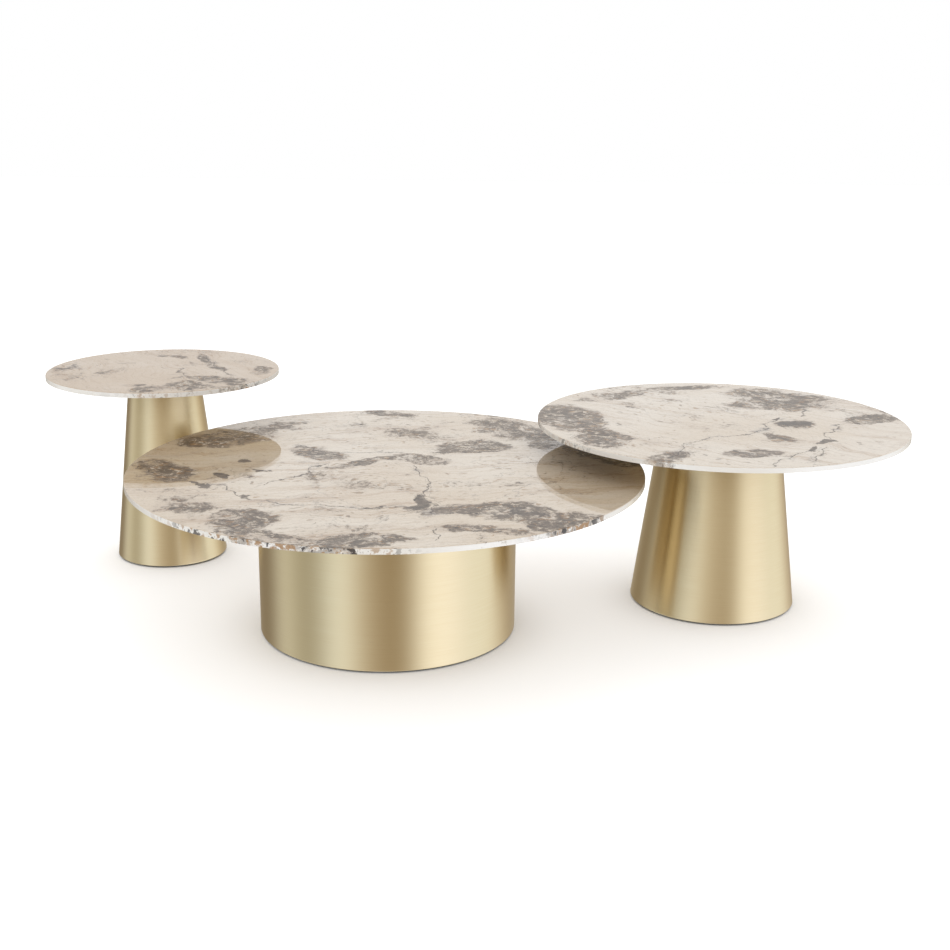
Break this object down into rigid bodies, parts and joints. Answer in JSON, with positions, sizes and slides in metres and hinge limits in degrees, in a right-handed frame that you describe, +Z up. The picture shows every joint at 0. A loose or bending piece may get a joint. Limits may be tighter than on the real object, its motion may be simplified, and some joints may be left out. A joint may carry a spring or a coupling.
{
  "type": "nesting tables",
  "caption": "Round stone-topped nesting tables on brushed brass pedestals; the lower tops slide in under the higher ones.",
  "frame": {"origin": "centre of the set's footprint, on the floor", "axes": "+Z up, +X to the right along the set's length, +Y towards the back"},
  "size_m": [1.8028, 1.1718, 0.42],
  "materials": {
    "polished_stone": "polished, veined",
    "brushed_brass": "brushed satin",
    "black_steel": "matte powder coat",
    "zinc_steel": "zinc plated",
    "insert_brass": "machined",
    "clear_silicone": "translucent silicone",
    "black_nylon": "moulded"
  },
  "bodies": {
    "low_table": {"low_stone_top": "polished_stone", "low_stone_inserts": "insert_brass", "low_stone_pads": "clear_silicone", "low_stone_bolts": "zinc_steel", "low_bolt_washers": "zinc_steel", "low_pedestal_shell": "brushed_brass", "low_top_plate": "black_steel", "low_base_ring": "black_steel", "low_base_plate": "black_steel", "low_base_screws": "zinc_steel", "low_foot_bushes": "zinc_steel"},
    "mid_table": {"mid_stone_top": "polished_stone", "mid_stone_inserts": "insert_brass", "mid_stone_pads": "clear_silicone", "mid_stone_bolts": "zinc_steel", "mid_bolt_washers": "zinc_steel", "mid_pedestal_shell": "brushed_brass", "mid_top_plate": "black_steel", "mid_base_ring": "black_steel", "mid_base_plate": "black_steel", "mid_base_screws": "zinc_steel", "mid_foot_bushes": "zinc_steel"},
    "tall_table": {"tall_stone_top": "polished_stone", "tall_stone_inserts": "insert_brass", "tall_stone_pads": "clear_silicone", "tall_stone_bolts": "zinc_steel", "tall_bolt_washers": "zinc_steel", "tall_pedestal_shell": "brushed_brass", "tall_top_plate": "black_steel", "tall_base_ring": "black_steel", "tall_base_plate": "black_steel", "tall_base_screws": "zinc_steel", "tall_foot_bushes": "zinc_steel"},
    "low_pad_1": {"low_foot_pad_1": "black_nylon"},
    "low_stem_1": {"low_foot_stem_1": "zinc_steel"},
    "low_pad_2": {"low_foot_pad_2": "black_nylon"},
    "low_stem_2": {"low_foot_stem_2": "zinc_steel"},
    "low_pad_3": {"low_foot_pad_3": "black_nylon"},
    "low_stem_3": {"low_foot_stem_3": "zinc_steel"},
    "low_pad_4": {"low_foot_pad_4": "black_nylon"},
    "low_stem_4": {"low_foot_stem_4": "zinc_steel"},
    "mid_pad_1": {"mid_foot_pad_1": "black_nylon"},
    "mid_stem_1": {"mid_foot_stem_1": "zinc_steel"},
    "mid_pad_2": {"mid_foot_pad_2": "black_nylon"},
    "mid_stem_2": {"mid_foot_stem_2": "zinc_steel"},
    "mid_pad_3": {"mid_foot_pad_3": "black_nylon"},
    "mid_stem_3": {"mid_foot_stem_3": "zinc_steel"},
    "tall_pad_1": {"tall_foot_pad_1": "black_nylon"},
    "tall_stem_1": {"tall_foot_stem_1": "zinc_steel"},
    "tall_pad_2": {"tall_foot_pad_2": "black_nylon"},
    "tall_stem_2": {"tall_foot_stem_2": "zinc_steel"},
    "tall_pad_3": {"tall_foot_pad_3": "black_nylon"},
    "tall_stem_3": {"tall_foot_stem_3": "zinc_steel"}
  },
  "joints": [
    {"name": "mid_table_slide", "type": "slide", "parent": "low_table", "child": "mid_table", "axis": [0.9699, 0.2436, 0], "range_m": [-0.06, 0.55]},
    {"name": "tall_table_slide", "type": "slide", "parent": "low_table", "child": "tall_table", "axis": [-0.7694, 0.6388, 0], "range_m": [-0.085, 0.6]},
    {"name": "low_foot_1_height", "type": "slide", "parent": "low_table", "child": "low_pad_1", "axis": [0, 0, -1], "range_m": [0, 0.008]},
    {"name": "low_foot_1_turn", "type": "hinge", "parent": "low_pad_1", "child": "low_stem_1", "pos_m": [0.01141, 0.05099, 0.003], "axis": [0, 0, -1], "range_deg": [0, 2306]},
    {"name": "low_foot_2_height", "type": "slide", "parent": "low_table", "child": "low_pad_2", "axis": [0, 0, -1], "range_m": [0, 0.008]},
    {"name": "low_foot_2_turn", "type": "hinge", "parent": "low_pad_2", "child": "low_stem_2", "pos_m": [-0.27851, 0.05099, 0.003], "axis": [0, 0, -1], "range_deg": [0, 2306]},
    {"name": "low_foot_3_height", "type": "slide", "parent": "low_table", "child": "low_pad_3", "axis": [0, 0, -1], "range_m": [0, 0.008]},
    {"name": "low_foot_3_turn", "type": "hinge", "parent": "low_pad_3", "child": "low_stem_3", "pos_m": [-0.27851, -0.23892, 0.003], "axis": [0, 0, -1], "range_deg": [0, 2306]},
    {"name": "low_foot_4_height", "type": "slide", "parent": "low_table", "child": "low_pad_4", "axis": [0, 0, -1], "range_m": [0, 0.008]},
    {"name": "low_foot_4_turn", "type": "hinge", "parent": "low_pad_4", "child": "low_stem_4", "pos_m": [0.01141, -0.23892, 0.003], "axis": [0, 0, -1], "range_deg": [0, 2306]},
    {"name": "mid_foot_1_height", "type": "slide", "parent": "mid_table", "child": "mid_pad_1", "axis": [0, 0, -1], "range_m": [0, 0.008]},
    {"name": "mid_foot_1_turn", "type": "hinge", "parent": "mid_pad_1", "child": "mid_stem_1", "pos_m": [0.56524, 0.19183, 0.003], "axis": [0, 0, -1], "range_deg": [0, 2306]},
    {"name": "mid_foot_2_height", "type": "slide", "parent": "mid_table", "child": "mid_pad_2", "axis": [0, 0, -1], "range_m": [0, 0.008]},
    {"name": "mid_foot_2_turn", "type": "hinge", "parent": "mid_pad_2", "child": "mid_stem_2", "pos_m": [0.41163, 0.04297, 0.003], "axis": [0, 0, -1], "range_deg": [0, 2306]},
    {"name": "mid_foot_3_height", "type": "slide", "parent": "mid_table", "child": "mid_pad_3", "axis": [0, 0, -1], "range_m": [0, 0.008]},
    {"name": "mid_foot_3_turn", "type": "hinge", "parent": "mid_pad_3", "child": "mid_stem_3", "pos_m": [0.61736, -0.01563, 0.003], "axis": [0, 0, -1], "range_deg": [0, 2306]},
    {"name": "tall_foot_1_height", "type": "slide", "parent": "tall_table", "child": "tall_pad_1", "axis": [0, 0, -1], "range_m": [0, 0.008]},
    {"name": "tall_foot_1_turn", "type": "hinge", "parent": "tall_pad_1", "child": "tall_stem_1", "pos_m": [-0.72269, 0.3096, 0.003], "axis": [0, 0, -1], "range_deg": [0, 2306]},
    {"name": "tall_foot_2_height", "type": "slide", "parent": "tall_table", "child": "tall_pad_2", "axis": [0, 0, -1], "range_m": [0, 0.008]},
    {"name": "tall_foot_2_turn", "type": "hinge", "parent": "tall_pad_2", "child": "tall_stem_2", "pos_m": [-0.59294, 0.28742, 0.003], "axis": [0, 0, -1], "range_deg": [0, 2306]},
    {"name": "tall_foot_3_height", "type": "slide", "parent": "tall_table", "child": "tall_pad_3", "axis": [0, 0, -1], "range_m": [0, 0.008]},
    {"name": "tall_foot_3_turn", "type": "hinge", "parent": "tall_pad_3", "child": "tall_stem_3", "pos_m": [-0.63861, 0.41088, 0.003], "axis": [0, 0, -1], "range_deg": [0, 2306]}
  ],
  "couplings": [
    {"joint": "low_foot_1_turn", "follows": "low_foot_1_height", "rad_per_m": 5026.5},
    {"joint": "low_foot_2_turn", "follows": "low_foot_2_height", "rad_per_m": 5026.5},
    {"joint": "low_foot_3_turn", "follows": "low_foot_3_height", "rad_per_m": 5026.5},
    {"joint": "low_foot_4_turn", "follows": "low_foot_4_height", "rad_per_m": 5026.5},
    {"joint": "mid_foot_1_turn", "follows": "mid_foot_1_height", "rad_per_m": 5026.5},
    {"joint": "mid_foot_2_turn", "follows": "mid_foot_2_height", "rad_per_m": 5026.5},
    {"joint": "mid_foot_3_turn", "follows": "mid_foot_3_height", "rad_per_m": 5026.5},
    {"joint": "tall_foot_1_turn", "follows": "tall_foot_1_height", "rad_per_m": 5026.5},
    {"joint": "tall_foot_2_turn", "follows": "tall_foot_2_height", "rad_per_m": 5026.5},
    {"joint": "tall_foot_3_turn", "follows": "tall_foot_3_height", "rad_per_m": 5026.5}
  ]
}
